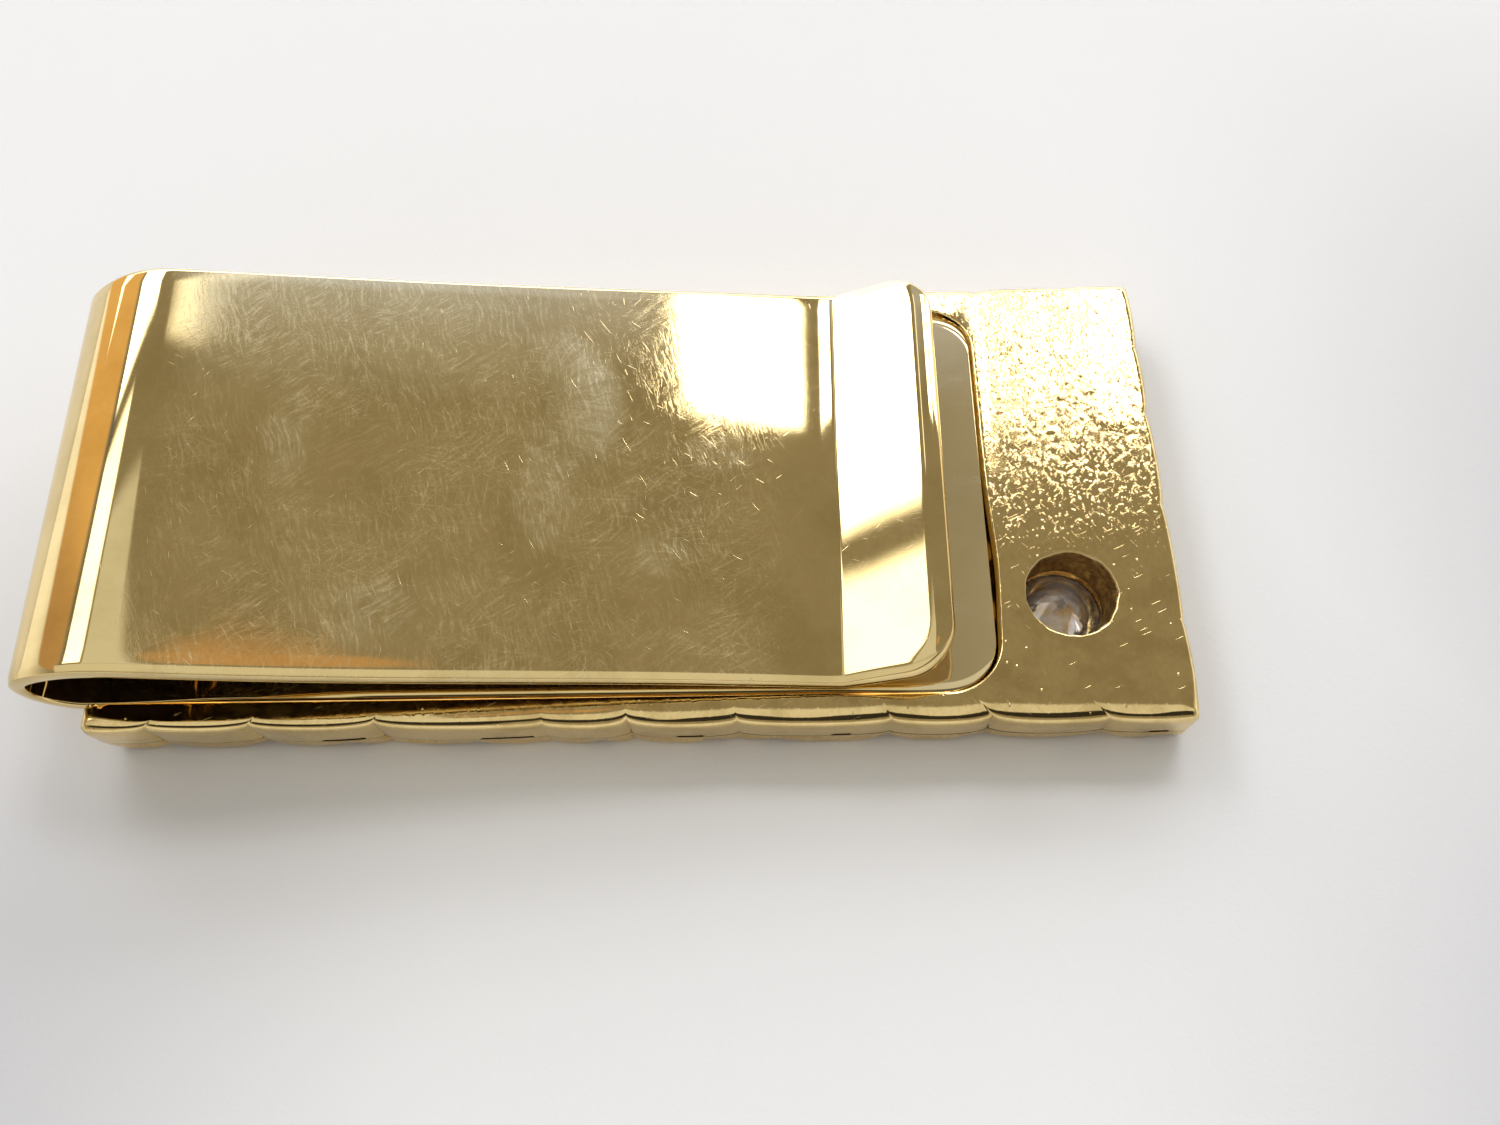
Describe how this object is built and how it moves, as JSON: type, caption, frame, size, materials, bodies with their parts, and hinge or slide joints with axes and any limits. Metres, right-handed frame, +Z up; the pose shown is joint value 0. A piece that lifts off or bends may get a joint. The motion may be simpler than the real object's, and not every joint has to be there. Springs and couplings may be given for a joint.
{
  "type": "money clip",
  "caption": "Cast nugget-style money clip: a plate with a stone set in one corner, and a folded spring strip let into its back that grips folded banknotes against it.",
  "frame": {"origin": "on the surface the clip lies on, under the middle of the clip's outline, folded end included", "axes": "+X along the plate from the folded end to the stone end, +Z up from the nugget face to the spring strip, +Y away from the long edge that is nearer the stone"},
  "size_m": [0.0573, 0.0254, 0.0085],
  "materials": {
    "cast_gold": "bright rough-cast gold, burnished on the rims",
    "nugget_gold": "lumpy cast gold, polished lump tops and darker creases",
    "polished_gold": "polished rolled gold with fine wear scratches",
    "setting_gold": "polished gold",
    "solder": "dull pale solder",
    "clear_stone": "clear faceted stone"
  },
  "bodies": {
    "plate": {"back_plate": "cast_gold", "nugget_face": "nugget_gold", "solder_layer": "solder", "clip_base_leaf": "polished_gold", "clip_bend_lower": "polished_gold", "stone_setting": "setting_gold", "stone": "clear_stone"},
    "bend": {"clip_bend_upper": "polished_gold", "clip_leaf_rear": "polished_gold"},
    "leaf_middle": {"clip_leaf_middle": "polished_gold"},
    "leaf_front": {"clip_leaf_front": "polished_gold", "clip_lip": "polished_gold"}
  },
  "joints": [
    {"name": "bend_flex", "type": "hinge", "parent": "plate", "child": "bend", "pos_m": [-0.02865, 0, 0.005], "axis": [0, -1, 0], "range_deg": [0, 4.5], "stiffness_Nm_per_rad": 12.3},
    {"name": "rear_leaf_flex", "type": "hinge", "parent": "bend", "child": "leaf_middle", "pos_m": [-0.0123, 0, 0.00718], "axis": [0, -1, 0], "range_deg": [0, 4.2]},
    {"name": "front_leaf_flex", "type": "hinge", "parent": "leaf_middle", "child": "leaf_front", "pos_m": [-0.0003, 0, 0.00571], "axis": [0, -1, 0], "range_deg": [0, 1.5]}
  ],
  "couplings": [
    {"joint": "rear_leaf_flex", "follows": "bend_flex", "ratio": 0.92},
    {"joint": "front_leaf_flex", "follows": "bend_flex", "ratio": 0.33}
  ]
}
